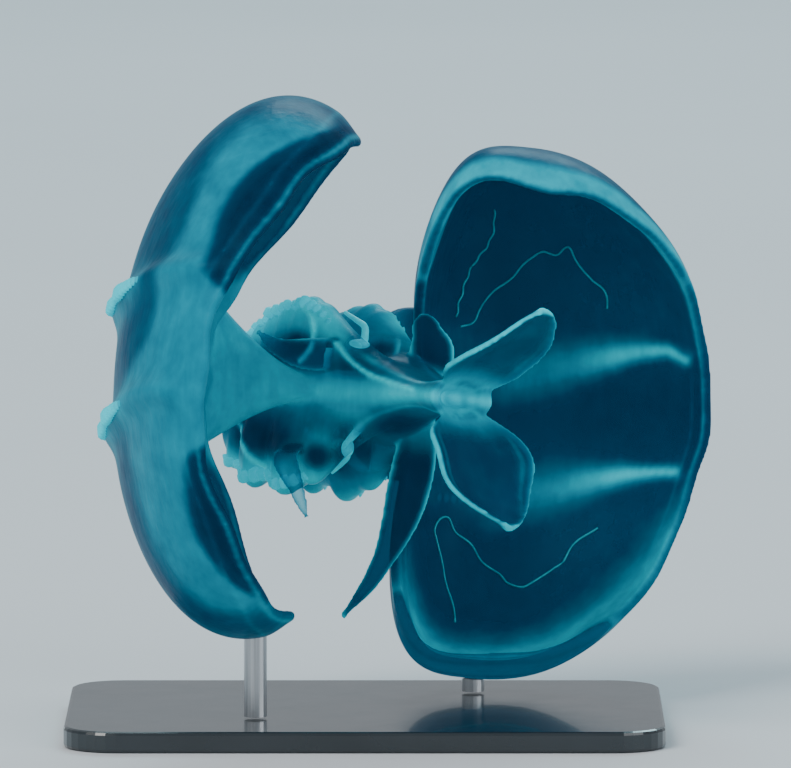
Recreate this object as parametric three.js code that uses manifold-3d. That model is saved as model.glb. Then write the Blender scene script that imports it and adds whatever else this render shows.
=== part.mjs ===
// A lobate comb jelly, life size, swimming with both oral lobes spread, on a plain display stand.
// Millimetres, +Z up. The origin is on the underside of the base, below the middle of the whole model.
//
// The animal is built in its own frame (o, s, t), measured from the middle of the body:
//   o  the body axis, from the aboral pole (-) to the mouth (+)
//   s  sideways, from one lobe (-, "left") to the other (+, "right")
//   t  across the tentacles' plane, "lower" (-) to "upper" (+)
// Each lobe is a deep bowl with a frame of its own (t, l, n): l runs out to the free edge, n out of
// the bowl's back. The lobes turn their backs away from each other, a quarter turn apart.

import * as THREE from "three";
import { mergeVertices } from "three/addons/utils/BufferGeometryUtils.js";
import Module from "manifold-3d";

const wasm = await Module();
wasm.setup();

// ---- driving dimensions ------------------------------------------------------------------------

const GAP = 0.3; // between pieces that touch

// How the animal hangs: the t axis leans toward +X, and the whole body tips back a little.
const LEAN = THREE.MathUtils.degToRad(6.5);
const TIP_BACK = THREE.MathUtils.degToRad(6);

// Lobes: half of an ellipsoid each, flatter where it meets the body.
const LOBE = {
  side: 23.9, // from the body axis to the middle of a lobe, along s
  tShift: 1.4, // the left lobe sits this much higher and the right one lower
  tHalf: 38, // half the height along t
  depth: 21.1, // from the middle out to the back, along n
  distal: 29.3, // from the middle to the free edge, along l
  distalBulge: 3.1, // how much farther the ellipsoid reaches before the free edge cuts it
  proximal: 15, // from the middle to the wall that faces the body
  proximalPower: 3.5, // how square that wall is
  edgeAngle: 66, // degrees from the back to the free edge, half way up
  curlUpper: 118, // the same at the upper end, where the edge curls over
  curlLower: 111, // and at the lower end
  // How soon the curl dies away from the two ends, on the far side from the body and next to it.
  curlPowerUpper: { distal: 2.1, proximal: 3.3 },
  curlPowerLower: { distal: 2.8, proximal: 5.5 },
  wall: 1.6, // jelly thickness at the free edge
  wallEnds: 1.1, // how much thicker it is at the two ends
};

// Body: four rounded ridges that carry the comb rows, drawn in toward the mouth.
const BODY = {
  aboral: -30.2,
  mouth: 16.7,
  widest: -10,
  // From the axis to a ridge's crest along t, as [o, height] from the aboral pole to the mouth.
  crestUpper: [[-30.2, 0], [-26, 3.5], [-21.5, 7], [-15, 10.9], [-10.2, 12], [-7.5, 11.2], [-3.3, 8.4],
    [4, 4.3], [9, 2.2], [16.7, 2]],
  crestLower: [[-30.2, 0], [-28, 5.7], [-25.5, 10.3], [-22, 12.3], [-12, 13.2], [-7, 12.9], [-3.5, 9.7],
    [4, 4.5], [9, 2.4], [16.7, 2.3]],
  ridgeS: 7.6, // from the axis to the crest of any ridge, along s
  taperFrom: -9, // where the ridges start to fade into a plain oval toward the mouth
  taperTo: 9, // and where they are gone
  axisT: -1.1, // the body sits this much below the lobes' middle
  mouthS: 0.6, // share of ridgeS left at the mouth
  grooveT: 0.63, // how far the tentacle grooves cut in, as a share
  grooveS: 0.36, // how far the two flat sides cut in
};

// Wings: the webs from the body to the back of each lobe.
const WING = { root: 2, thin: 3.5, flare: 18, end: 31, thinT: 1.35, flareT: 12.5 };

// Comb rows: a raised bar on each keel, notched once for each group of combs.
const COMB = { width: 3.1, height: 2.3, notch: 0.35, lobeGroups: 9, bodyGroups: 7 };
const COMB_LOBE = { spread: 8.4, from: -7, to: 26.2, driftStart: -3.9, driftPerL: 0.31 };
const COMB_BODY = { from: -25.5, to: -5.5 };

const BULB = { o: -6, length: 2.1, width: 1.3, height: 1.5 };
const APEX_ORGAN = { radius: 1.9, length: 1.5 };

const BASE = { x: 84, y: 56, thick: 3, corner: 7, bevel: 0.5, clearance: 2 };
const ROD = { radius: 1.6, sides: 16 };

// ---- frames ------------------------------------------------------------------------------------

const right = new THREE.Vector3(1, 0, 0);
const up = new THREE.Vector3(0, Math.sin(TIP_BACK), Math.cos(TIP_BACK));
const front = new THREE.Vector3(0, -Math.cos(TIP_BACK), Math.sin(TIP_BACK));

const mix = (a, b, f) => a + (b - a) * f;
const ease = (from, to, x) => THREE.MathUtils.smoothstep(x, from, to);

// The animal's own axes, as world directions.
function animalFrame() {
  const axisT = right.clone().multiplyScalar(Math.sin(LEAN)).addScaledVector(up, Math.cos(LEAN));
  const across = right.clone().multiplyScalar(Math.cos(LEAN)).addScaledVector(up, -Math.sin(LEAN));
  const axisO = across.clone().add(front).normalize();
  const axisS = across.clone().sub(front).normalize();
  return new THREE.Matrix4().makeBasis(axisO, axisS, axisT);
}

// From a lobe's frame (t, l, n) to the animal's (o, s, t). side is -1 for the left lobe, +1 for the right.
function fromLobe(side, t, l, n) {
  return new THREE.Vector3(
    (l - n) * Math.SQRT1_2,
    side * (LOBE.side + (l + n) * Math.SQRT1_2),
    t - side * LOBE.tShift,
  );
}

// ---- building closed solids --------------------------------------------------------------------

// Joins rings of points into one closed surface. Each ring has the same number of points, and the
// first and last entries may be single points. Open ends are closed on their middles.
function closedLoft(rings) {
  const middle = (ring) =>
    ring.reduce((sum, p) => sum.add(p), new THREE.Vector3()).divideScalar(ring.length);
  const list = rings.map((ring) => (Array.isArray(ring) ? ring : [ring]));
  if (list[0].length > 1) list.unshift([middle(list[0])]);
  if (list.at(-1).length > 1) list.push([middle(list.at(-1))]);

  const positions = [];
  const starts = list.map((ring) => {
    const start = positions.length / 3;
    ring.forEach((p) => positions.push(p.x, p.y, p.z));
    return start;
  });
  const index = [];
  for (let i = 0; i + 1 < list.length; i++) {
    const count = Math.max(list[i].length, list[i + 1].length);
    const at = (ring, k) => starts[ring] + (list[ring].length === 1 ? 0 : k % count);
    for (let k = 0; k < count; k++) {
      const [a, b] = [at(i, k), at(i, k + 1)];
      const [c, d] = [at(i + 1, k), at(i + 1, k + 1)];
      if (a !== b) index.push(a, b, d);
      if (c !== d) index.push(a, d, c);
    }
  }
  const geometry = new THREE.BufferGeometry();
  geometry.setAttribute("position", new THREE.Float32BufferAttribute(positions, 3));
  geometry.setIndex(index);
  return facingOut(geometry);
}

// Turns every face round if the closed surface is inside out.
function facingOut(geometry) {
  const { position } = geometry.attributes;
  const index = geometry.index.array;
  const [a, b, c] = [new THREE.Vector3(), new THREE.Vector3(), new THREE.Vector3()];
  let volume = 0;
  for (let i = 0; i < index.length; i += 3) {
    a.fromBufferAttribute(position, index[i]);
    b.fromBufferAttribute(position, index[i + 1]);
    c.fromBufferAttribute(position, index[i + 2]);
    volume += a.dot(b.cross(c));
  }
  if (volume < 0) {
    for (let i = 0; i < index.length; i += 3) {
      [index[i + 1], index[i + 2]] = [index[i + 2], index[i + 1]];
    }
  }
  return geometry;
}

function toSolid(geometry) {
  const bare = geometry.clone();
  for (const name of Object.keys(bare.attributes)) if (name !== "position") bare.deleteAttribute(name);
  const merged = mergeVertices(bare, 1e-4);
  return new wasm.Manifold(
    new wasm.Mesh({
      numProp: 3,
      vertProperties: new Float32Array(merged.attributes.position.array),
      triVerts: new Uint32Array(merged.index.array),
    }),
  );
}

function toGeometry(solid) {
  const mesh = solid.getMesh();
  const geometry = new THREE.BufferGeometry();
  geometry.setAttribute("position", new THREE.Float32BufferAttribute(mesh.vertProperties, 3));
  geometry.setIndex([...mesh.triVerts]);
  return geometry;
}

const cut = (geometry, ...tools) =>
  toGeometry(tools.reduce((solid, tool) => solid.subtract(toSolid(tool)), toSolid(geometry)));
const join = (...geometries) => toGeometry(geometries.map(toSolid).reduce((a, b) => a.add(b)));

// A point moved off a surface along its outward normal. inside is any point on the inner side.
function offSurface(surface, u, v, distance, inside) {
  const step = 1e-3;
  const point = surface(u, v);
  const du = surface(u + step, v).sub(surface(u - step, v));
  const dv = surface(u, v + step).sub(surface(u, v - step));
  const normal = du.cross(dv).normalize();
  if (normal.dot(point.clone().sub(inside)) < 0) normal.negate();
  return point.addScaledVector(normal, distance);
}

// ---- lobes -------------------------------------------------------------------------------------

// Distance from the lobe's middle to its widest outline, in the direction theta from +t toward +l.
function lobeOutline(theta) {
  const [alongT, alongL] = [Math.abs(Math.cos(theta)), Math.sin(theta)];
  const distal = alongL >= 0;
  const power = distal ? 2 : LOBE.proximalPower;
  const reach = distal ? LOBE.distal + LOBE.distalBulge * alongL ** 4 : LOBE.proximal;
  return ((alongT / LOBE.tHalf) ** power + (Math.abs(alongL) / reach) ** power) ** (-1 / power);
}

// Angle from the back of the bowl to its free edge.
function edgeAngle(theta) {
  const upper = Math.cos(theta) > 0;
  const curl = upper ? LOBE.curlUpper : LOBE.curlLower;
  const powers = upper ? LOBE.curlPowerUpper : LOBE.curlPowerLower;
  const share = Math.abs(Math.cos(theta)) ** (Math.sin(theta) >= 0 ? powers.distal : powers.proximal);
  return THREE.MathUtils.degToRad(mix(LOBE.edgeAngle, curl, share));
}

// The bowl's outer face in its own frame, as a Vector3 (t, l, n).
function lobeFace(theta, phi) {
  const reach = lobeOutline(theta) * Math.sin(phi);
  return new THREE.Vector3(
    reach * Math.cos(theta),
    reach * Math.sin(theta),
    LOBE.depth * Math.cos(phi),
  );
}

const lobeWall = (theta, phi) => LOBE.wall + LOBE.wallEnds * (Math.cos(theta) * Math.sin(phi)) ** 2;

const LOBE_SPOKES = 38;
const LOBE_RINGS = 10;

// One ring round the bowl, share of the way to the free edge, moved out by offset(theta, phi).
function lobeRing(side, share, offset) {
  const middle = new THREE.Vector3(0, 0, 0);
  return Array.from({ length: LOBE_SPOKES }, (_, k) => {
    const theta = (2 * Math.PI * k) / LOBE_SPOKES + 1e-3;
    const phi = edgeAngle(theta) * share;
    const p = offSurface(lobeFace, theta, phi, offset(theta, phi), middle);
    return fromLobe(side, p.x, p.y, p.z);
  });
}

function lobeShell(side) {
  const shares = Array.from({ length: LOBE_RINGS }, (_, j) => (j + 1) / LOBE_RINGS);
  return closedLoft([
    fromLobe(side, 0, 0, LOBE.depth),
    ...shares.map((share) => lobeRing(side, share, () => 0)),
    lobeRing(side, 1.025, (theta, phi) => -lobeWall(theta, phi) / 2),
    ...shares.toReversed().map((share) => lobeRing(side, share, (theta, phi) => -lobeWall(theta, phi))),
    fromLobe(side, 0, 0, LOBE.depth - LOBE.wall),
  ]);
}

// The space a lobe takes up, bowl and all, grown by a gap: what its neighbours are cut with.
function lobeRoom(side, grow) {
  const shares = Array.from({ length: LOBE_RINGS }, (_, j) => (j + 1) / LOBE_RINGS);
  return closedLoft([
    fromLobe(side, 0, 0, LOBE.depth + grow),
    ...shares.map((share) => lobeRing(side, share, () => grow)),
    lobeRing(side, 1.04, () => grow),
    fromLobe(side, 0, 0, 1),
  ]);
}

// ---- body and wings ----------------------------------------------------------------------------

// The height of a profile of [o, height] points at o, straight from point to point.
function along(profile, o) {
  const i = Math.max(1, profile.findIndex(([at]) => at >= o));
  const [[from, low], [to, high]] = [profile[i - 1], profile[i]];
  return mix(low, high, THREE.MathUtils.clamp((o - from) / (to - from), 0, 1));
}

// A point on the body's skin: o along the axis, turn round it from +s toward +t.
function bodyFace(turn, o) {
  const back = Math.max(0, (BODY.widest - o) / (BODY.widest - BODY.aboral));
  const dome = Math.max(0, 1 - Math.min(1, back) ** 2.3) ** (1 / 2.3);
  const toMouth = ease(BODY.taperFrom, BODY.taperTo, o);
  const ridged = (1 - toMouth) * ease(0.1, 0.75, dome);
  const across = Math.cos(2 * turn) ** 2;
  const groove = BODY.grooveT * Math.sin(turn) ** 2 + BODY.grooveS * Math.cos(turn) ** 2;
  const radius = mix(Math.SQRT1_2, 1 - across * groove, ridged) * Math.SQRT2;
  const height = along(Math.sin(turn) > 0 ? BODY.crestUpper : BODY.crestLower, o);
  return new THREE.Vector3(
    o,
    radius * dome * Math.cos(turn) * BODY.ridgeS * mix(1, BODY.mouthS, ease(2, 15, o)),
    radius * height * Math.sin(turn) + BODY.axisT * (1 - toMouth),
  );
}

const BODY_SPOKES = 32;

function bodyTrunk(grow) {
  const stations = 12;
  const [from, to] = [BODY.aboral, BODY.mouth];
  const ring = (o) =>
    Array.from({ length: BODY_SPOKES }, (_, k) => {
      const turn = (2 * Math.PI * k) / BODY_SPOKES + 1e-3;
      return offSurface(bodyFace, turn, o, grow, new THREE.Vector3(o, 0, BODY.axisT));
    });
  const spaced = (f) => mix(from, to, 0.5 - 0.5 * Math.cos(Math.PI * mix(0.07, 0.97, f)));
  return closedLoft([
    new THREE.Vector3(from - grow, 0, BODY.axisT),
    ...Array.from({ length: stations }, (_, i) => ring(spaced(i / (stations - 1)))),
    new THREE.Vector3(to + grow, 0, 0),
  ]);
}

// One web: thin beside the body, flaring to the lobe's back wall, and running on into the lobe.
function wing(side, grow = 0) {
  const ring = (s) => {
    const fair = ease(WING.flare + 1, WING.end, s);
    const middleO = mix(-14, -19.3, ease(0, WING.flare, s)) + 5.3 * fair;
    const halfO = mix(mix(11, 4.5, ease(0, WING.flare, s)), 2.2, fair) + grow;
    const halfT = mix(WING.thinT, WING.flareT, ease(WING.thin, WING.flare + 4, s)) - 2 * fair + grow;
    return Array.from({ length: 16 }, (_, k) => {
      const turn = (2 * Math.PI * k) / 16;
      return new THREE.Vector3(
        middleO + halfO * Math.cos(turn),
        side * s,
        halfT * Math.sin(turn) + BODY.axisT * (1 - ease(0, WING.end, s)),
      );
    });
  };
  const stations = 8;
  return closedLoft(
    Array.from({ length: stations }, (_, i) => ring(mix(WING.root, WING.end, i / (stations - 1)))),
  );
}

const bodyWithWings = (grow = 0) => join(bodyTrunk(grow), wing(-1, grow), wing(1, grow));

// ---- comb rows ---------------------------------------------------------------------------------

// A notched bar along a path. at(f) gives the path's point and the surface's outward normal there.
function combBar(at, groups) {
  const steps = groups * 2;
  const rings = [];
  for (let i = 0; i <= steps; i++) {
    const f = i / steps;
    const { point, normal } = at(f);
    const tangent = at(Math.min(1, f + 0.01)).point.sub(at(Math.max(0, f - 0.01)).point).normalize();
    const sideways = tangent.clone().cross(normal).normalize();
    const end = Math.sin(Math.PI * mix(0.1, 0.9, f)) ** 0.35;
    const height = COMB.height * end * (i % 2 ? 1 : 1 - COMB.notch);
    const half = (COMB.width / 2) * end * (i % 2 ? 1 : 0.9);
    const corner = (x, h) =>
      point.clone().addScaledVector(sideways, x * half).addScaledVector(normal, GAP + 0.05 + h * height);
    const outline = [[-1, 0], [-0.95, 0.6], [-0.4, 1], [0.4, 1], [0.95, 0.6], [1, 0]];
    rings.push(outline.map(([x, h]) => corner(x, h)));
  }
  return closedLoft(rings);
}

// level is +1 for the upper row of a lobe and -1 for the lower one.
function lobeCombPath(side, level) {
  return (f) => {
    const l = mix(COMB_LOBE.from, COMB_LOBE.to, f);
    const drift = COMB_LOBE.driftStart + COMB_LOBE.driftPerL * Math.max(0, l) - side * 0.6;
    const t = level * COMB_LOBE.spread + drift - 0.012 * Math.max(0, l - 17) ** 2;
    const theta = Math.atan2(l, t);
    const phi = Math.asin(Math.min(1, Math.hypot(t, l) / lobeOutline(theta)));
    const base = lobeFace(theta, phi);
    const lifted = offSurface(lobeFace, theta, phi, 1, new THREE.Vector3());
    const point = fromLobe(side, base.x, base.y, base.z);
    return { point, normal: fromLobe(side, lifted.x, lifted.y, lifted.z).sub(point) };
  };
}

// The body's four rows run along the crests of its ridges, a quarter turn apart.
function bodyCombPath(side, level) {
  const turn = Math.atan2(level, side);
  return (f) => {
    const o = mix(COMB_BODY.from, COMB_BODY.to, f);
    const middle = new THREE.Vector3(o, 0, BODY.axisT);
    const point = bodyFace(turn, o);
    return { point, normal: offSurface(bodyFace, turn, o, 1, middle).sub(point) };
  };
}

// ---- auricles ----------------------------------------------------------------------------------

// A flat finger along a curve, broad across the direction given, tapering to a soft tip. The higher
// blunt is, the rounder the tip.
function auricle({ points, broad, width, blunt = 2.2 }, thickness) {
  const curve = new THREE.CatmullRomCurve3(points.map((p) => new THREE.Vector3(...p)));
  const steps = 10;
  const rings = [];
  for (let i = 0; i < steps; i++) {
    const f = i / (steps - 1);
    const tangent = curve.getTangentAt(f);
    const across = new THREE.Vector3(...broad);
    across.addScaledVector(tangent, -across.dot(tangent)).normalize();
    const thin = tangent.clone().cross(across);
    const taper = (0.8 + 0.35 * Math.sin(Math.PI * Math.min(1, f * 1.5))) * (1 - f ** blunt) ** 0.75;
    const [a, b] = [Math.max(0.45, (width / 2) * taper), Math.max(0.3, (thickness / 2) * (1 - 0.45 * f))];
    const centre = curve.getPointAt(f);
    rings.push(
      Array.from({ length: 10 }, (_, k) => {
        const turn = (2 * Math.PI * k) / 10;
        return centre
          .clone()
          .addScaledVector(across, a * Math.cos(turn))
          .addScaledVector(thin, b * Math.sin(turn));
      }),
    );
  }
  return closedLoft(rings);
}

const AURICLE_THICK = 2;

// Roots on the ends of the body's ridges; each curls its own way.
const AURICLES = {
  auricle_right_lower: {
    points: [[2.4, 4.6, -3.4], [2.3, 4.9, -8.5], [1.7, 3.9, -17.9], [-0.5, 2.3, -26], [-4, 0.3, -32.5]],
    broad: [1, 1, 0],
    width: 5.8,
  },
  auricle_left_lower: {
    points: [[-9, -6.4, -9], [-7.6, -10.9, -10.8], [-3.8, -11.6, -15.3], [-0.5, -12.4, -18.9]],
    broad: [1, 1, 0.3],
    width: 3.4,
    blunt: 5,
  },
  auricle_right_upper: {
    points: [[2.4, 5.2, 3.2], [2.9, 5.3, 5.6], [2.3, 4.8, 8.2], [0.5, 4.7, 11.3]],
    broad: [1, 1, 0.1],
    width: 5.6,
    blunt: 6,
  },
  auricle_left_upper: {
    points: [[-2.5, -4.5, 4.6], [-5.2, -11, 3.9], [-5.6, -17, 4.4], [-3.6, -23, 6.2]],
    broad: [0.3, 0, 1],
    width: 4.6,
  },
};

// ---- lips --------------------------------------------------------------------------------------

// A cupped petal from the mouth: line is its middle line in the o-t plane, half its width along it.
// A lip leaves the trunk at LIP_ROOT of its width and is at full width LIP_SPREAD of the way along.
const LIP_ROOT = 0.45;
const LIP_SPREAD = 0.3;

function lip({ line, half, cup, sheet, bead }) {
  const curve = new THREE.CatmullRomCurve3(line.map(([o, t]) => new THREE.Vector3(o, 0, t)));
  const steps = 12;
  const across = 10;
  const rings = [];
  for (let i = 0; i < steps; i++) {
    const f = (0.985 * i) / (steps - 1);
    const centre = curve.getPointAt(f);
    const tangent = curve.getTangentAt(f);
    const normal = new THREE.Vector3(-tangent.z, 0, tangent.x).multiplyScalar(Math.sign(cup));
    const face = (x, back) => {
      const thick = mix(sheet, bead, Math.max(Math.abs(x) ** 4, f ** 6));
      const dish = Math.abs(cup) * (1 - x * x) * Math.sin(Math.PI * mix(0.05, 0.9, f));
      return centre
        .clone()
        .add(new THREE.Vector3(0, x * half(f) * mix(LIP_ROOT, 1, ease(0, LIP_SPREAD, f)), 0))
        .addScaledVector(normal, dish + (back ? thick : -thick) / 2);
    };
    const spread = (k) => Math.sin(((k / across) * 2 - 1) * Math.PI * 0.5);
    rings.push([
      ...Array.from({ length: across + 1 }, (_, k) => face(spread(k), true)),
      ...Array.from({ length: across + 1 }, (_, k) => face(spread(across - k), false)),
    ]);
  }
  return closedLoft(rings);
}

const LIPS = {
  lip_upper: {
    line: [[13.6, 1.2], [20, 5.1], [25.5, 8.6], [29.8, 13.4]],
    half: (f) => 7.1 * Math.sqrt(1 - f * f) * (1 + 0.1 * Math.sin(Math.PI * f)),
    cup: 1.7,
    sheet: 0.9,
    bead: 1.7,
  },
  lip_lower: {
    line: [[13.8, -1.2], [20.4, -6.8], [22.6, -12.2], [27.9, -16.9]],
    half: (f) => 5.2 * Math.sqrt(1 - f ** 3) * (1 + 0.95 * Math.sin(Math.PI * f) ** 0.8),
    cup: -1.9,
    sheet: 0.9,
    bead: 1.7,
  },
};

// ---- small organs ------------------------------------------------------------------------------

function ellipsoid(centre, radii) {
  const ball = new THREE.SphereGeometry(1, 14, 9);
  return ball.scale(...radii).translate(...centre);
}

// A tentacle bulb on the floor of the groove between two ridges. level is +1 or -1.
function tentacleBulb(level) {
  const floor = bodyFace((level * Math.PI) / 2, BULB.o);
  return ellipsoid([BULB.o, 0, floor.z + level * 0.5], [BULB.length, BULB.width, BULB.height]);
}

// ---- stand -------------------------------------------------------------------------------------

function standBase() {
  const [x, y, r] = [BASE.x / 2 - BASE.bevel, BASE.y / 2 - BASE.bevel, BASE.corner];
  const outline = new THREE.Shape();
  outline.moveTo(-x + r, -y);
  outline.lineTo(x - r, -y).absarc(x - r, -y + r, r, -Math.PI / 2, 0);
  outline.lineTo(x, y - r).absarc(x - r, y - r, r, 0, Math.PI / 2);
  outline.lineTo(-x + r, y).absarc(-x + r, y - r, r, Math.PI / 2, Math.PI);
  outline.lineTo(-x, -y + r).absarc(-x + r, -y + r, r, Math.PI, Math.PI * 1.5);
  const plate = new THREE.ExtrudeGeometry(outline, {
    depth: BASE.thick - 2 * BASE.bevel,
    bevelThickness: BASE.bevel,
    bevelSize: BASE.bevel,
    bevelSegments: 2,
    curveSegments: 4,
  });
  return plate.translate(0, 0, BASE.bevel - BASE.thick);
}

function standRod(height) {
  return new THREE.CylinderGeometry(ROD.radius, ROD.radius, height, ROD.sides)
    .rotateX(Math.PI / 2)
    .translate(0, 0, height / 2 + GAP);
}

// ---- assembly ----------------------------------------------------------------------------------

const JELLY = { color: 0x0a8fa3, roughness: 0.22, metalness: 0, transparent: true, opacity: 0.75 };
const COMBS = { color: 0x1fd0dc, roughness: 0.35, metalness: 0 };
const PLATE = { color: 0x20262b, roughness: 0.45, metalness: 0 };
const STEEL = { color: 0x9aa2a8, roughness: 0.3, metalness: 0.9 };

function meshOf(name, geometry, finish) {
  const flat = geometry.index ? geometry.toNonIndexed() : geometry;
  flat.computeVertexNormals();
  const mesh = new THREE.Mesh(flat, new THREE.MeshStandardMaterial(finish));
  mesh.name = name;
  return mesh;
}

const animal = new THREE.Group();
const stand = new THREE.Group();
const SIDES = { left: -1, right: 1 };
const LEVELS = { upper: 1, lower: -1 };

const lobeRooms = [lobeRoom(-1, GAP), lobeRoom(1, GAP)];
const bodyRoom = bodyWithWings(GAP);

animal.add(meshOf("body_trunk", cut(bodyWithWings(), ...lobeRooms), JELLY));
for (const [sideName, side] of Object.entries(SIDES)) {
  animal.add(meshOf(`lobe_${sideName}`, lobeShell(side), JELLY));
  for (const [levelName, level] of Object.entries(LEVELS)) {
    const groups = { lobe: COMB.lobeGroups, body: COMB.bodyGroups };
    const paths = { lobe: lobeCombPath(side, level), body: bodyCombPath(side, level) };
    for (const place of ["lobe", "body"]) {
      const bar = combBar(paths[place], groups[place]);
      animal.add(meshOf(`comb_row_${place}_${sideName}_${levelName}`, bar, COMBS));
    }
  }
}
for (const [name, shape] of Object.entries(AURICLES)) {
  animal.add(meshOf(name, cut(auricle(shape, AURICLE_THICK), bodyRoom), JELLY));
}
for (const [name, shape] of Object.entries(LIPS)) {
  animal.add(meshOf(name, cut(lip(shape), bodyRoom), JELLY));
}
for (const [levelName, level] of Object.entries(LEVELS)) {
  animal.add(meshOf(`tentacle_bulb_${levelName}`, cut(tentacleBulb(level), bodyRoom), JELLY));
}
const pole = [BODY.aboral, 0, BODY.axisT];
const apex = ellipsoid(pole, [APEX_ORGAN.length, APEX_ORGAN.radius, APEX_ORGAN.radius]);
animal.add(meshOf("apical_organ", cut(apex, bodyRoom), JELLY));
animal.applyMatrix4(animalFrame());
animal.updateMatrixWorld(true);

// The base lies below the lowest lobe, and each rod stands under a lobe's lowest point.
const lowest = (geometry) => {
  const { position } = geometry.clone().applyMatrix4(animal.matrixWorld).attributes;
  const best = new THREE.Vector3(0, 0, Infinity);
  for (let i = 0; i < position.count; i++) {
    if (position.getZ(i) < best.z) best.fromBufferAttribute(position, i);
  }
  return best;
};
const lowPoints = Object.values(SIDES).map((side) => lowest(lobeShell(side)));
const baseTop = Math.min(...lowPoints.map((p) => p.z)) - BASE.clearance;
Object.keys(SIDES).forEach((sideName, i) => {
  const foot = lowPoints[i];
  const reach = foot.z - baseTop + 2;
  const rod = standRod(reach).translate(foot.x, foot.y, baseTop);
  const room = lobeRooms[i].clone().applyMatrix4(animal.matrixWorld);
  stand.add(meshOf(`stand_rod_${sideName}`, cut(rod, room), STEEL));
});
const between = lowPoints[0].clone().add(lowPoints[1]).multiplyScalar(0.5);
stand.add(meshOf("stand_base", standBase().translate(between.x, between.y, baseTop), PLATE));

// Set the whole model down with its middle over the origin.
const group = new THREE.Group();
group.add(animal, stand);
const box = new THREE.Box3().setFromObject(group, true);
const middle = box.getCenter(new THREE.Vector3());
group.position.set(-middle.x, -middle.y, -box.min.z);
group.updateMatrixWorld(true);

export default group;
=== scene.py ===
"""A lobate comb jelly, life size, with both oral lobes spread, on a plain display stand.

One skin covers the lobes, body, webs, lips, auricles and small organs. It is built from the same
sizes as the CAD solids, fused into a single surface, and marked with two numbers at each vertex:
how bright the jelly is there, and how solid. The brightness holds the jelly's own tone together
with painted light and shade: glow where the view runs along a wall or web, and dark where thin
clear jelly shows only shade. Comb plates, canals and the two tentacles are meshes of their own.
Shapes are worked out in millimetres in the animal's frame (o, s, t): o along the body from the
aboral pole to the mouth, s from the left lobe to the right one, t from lower to upper.
"""

import math

import bpy
import numpy as np
from mathutils import Matrix, Vector, kdtree


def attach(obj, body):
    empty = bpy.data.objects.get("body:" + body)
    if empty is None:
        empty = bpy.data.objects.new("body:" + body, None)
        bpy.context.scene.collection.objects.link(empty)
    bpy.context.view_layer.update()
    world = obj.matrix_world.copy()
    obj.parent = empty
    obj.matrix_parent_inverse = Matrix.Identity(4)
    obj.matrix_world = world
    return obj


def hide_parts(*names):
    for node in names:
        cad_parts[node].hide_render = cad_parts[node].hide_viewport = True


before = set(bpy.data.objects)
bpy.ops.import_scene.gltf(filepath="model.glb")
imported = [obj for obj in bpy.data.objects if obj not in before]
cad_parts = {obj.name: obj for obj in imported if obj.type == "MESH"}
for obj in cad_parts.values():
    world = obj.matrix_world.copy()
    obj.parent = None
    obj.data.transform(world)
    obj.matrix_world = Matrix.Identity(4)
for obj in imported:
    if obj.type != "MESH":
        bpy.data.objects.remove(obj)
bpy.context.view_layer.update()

MM = 0.001

# ---- sizes shared with the CAD solids, in millimetres --------------------------------------------

LEAN = math.radians(6.5)  # the t axis leans toward +X
TIP_BACK = math.radians(6)  # the whole body tips back
BODY_MIDDLE = np.array([-0.733, 2.861, 47.635])  # where o = s = t = 0 lies in the row frame

LOBE_SIDE, LOBE_T_SHIFT = 23.9, 1.4
LOBE_T, LOBE_DEPTH = 38.0, 21.1
LOBE_DISTAL, LOBE_BULGE = 29.3, 3.1
LOBE_PROXIMAL, PROXIMAL_POWER = 15.0, 3.5
EDGE_MIDDLE, CURL_UPPER, CURL_LOWER = 66.0, 118.0, 111.0
CURL_POWER_UPPER, CURL_POWER_LOWER = (2.1, 3.3), (2.8, 5.5)  # on the distal and proximal sides
WALL, WALL_ENDS = 1.6, 1.1

BODY_ABORAL, BODY_MOUTH, BODY_WIDEST = -30.2, 16.7, -10.0
RIDGE_S, MOUTH_S, AXIS_T = 7.6, 0.6, -1.1
TAPER_FROM, TAPER_TO = -9.0, 9.0
GROOVE_T, GROOVE_S = 0.63, 0.36
# From the axis to a ridge's crest along t, as (o, height) from the aboral pole to the mouth.
CREST_UPPER = [(-30.2, 0), (-26, 3.5), (-21.5, 7.0), (-15, 10.9), (-10.2, 12.0), (-7.5, 11.2),
               (-3.3, 8.4), (4, 4.3), (9, 2.2), (16.7, 2)]
CREST_LOWER = [(-30.2, 0), (-28, 5.7), (-25.5, 10.3), (-22, 12.3), (-12, 13.2), (-7, 12.9),
               (-3.5, 9.7), (4, 4.5), (9, 2.4), (16.7, 2.3)]

# Each web runs out along s from the body, thin at first, flares, and ends inside the lobe's wall.
WING_ROOT, WING_THIN, WING_FLARE, WING_END = 2.0, 3.5, 18.0, 31.0
WING_THIN_T, WING_FLARE_T = 1.35, 12.5
WING_MIDDLE_O, WING_BACK_O = (-14.0, -19.3), 5.3  # root and flare, and how far it then comes back
WING_HALF_O, WING_END_HALF_O = (11.0, 4.5), 2.2

COMB_SPREAD, COMB_FROM, COMB_TO = 8.4, -7.0, 26.2
COMB_DRIFT, COMB_DRIFT_PER_L, COMB_DRIFT_SIDE = -3.9, 0.31, 0.6
COMB_BEND, COMB_BEND_FROM = 0.012, 17
BODY_COMB_FROM, BODY_COMB_TO = -25.5, -5.5

SIDES = {"left": -1, "right": 1}
LEVELS = {"upper": 1, "lower": -1}


# ---- numbers and frames --------------------------------------------------------------------------


def mix(a, b, f):
    return a + (b - a) * f


def ease(low, high, x):
    f = np.clip((np.asarray(x, float) - low) / (high - low), 0, 1)
    return f * f * (3 - 2 * f)


def bump(x, centre, half):
    """A soft bell of the given half width."""
    return np.exp(-(((np.asarray(x, float) - centre) / half) ** 2))


def vec(x, y, z):
    return np.stack(np.broadcast_arrays(x, y, z), axis=-1).astype(float)


def unit(v):
    return v / np.maximum(np.linalg.norm(v, axis=-1, keepdims=True), 1e-9)


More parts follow.
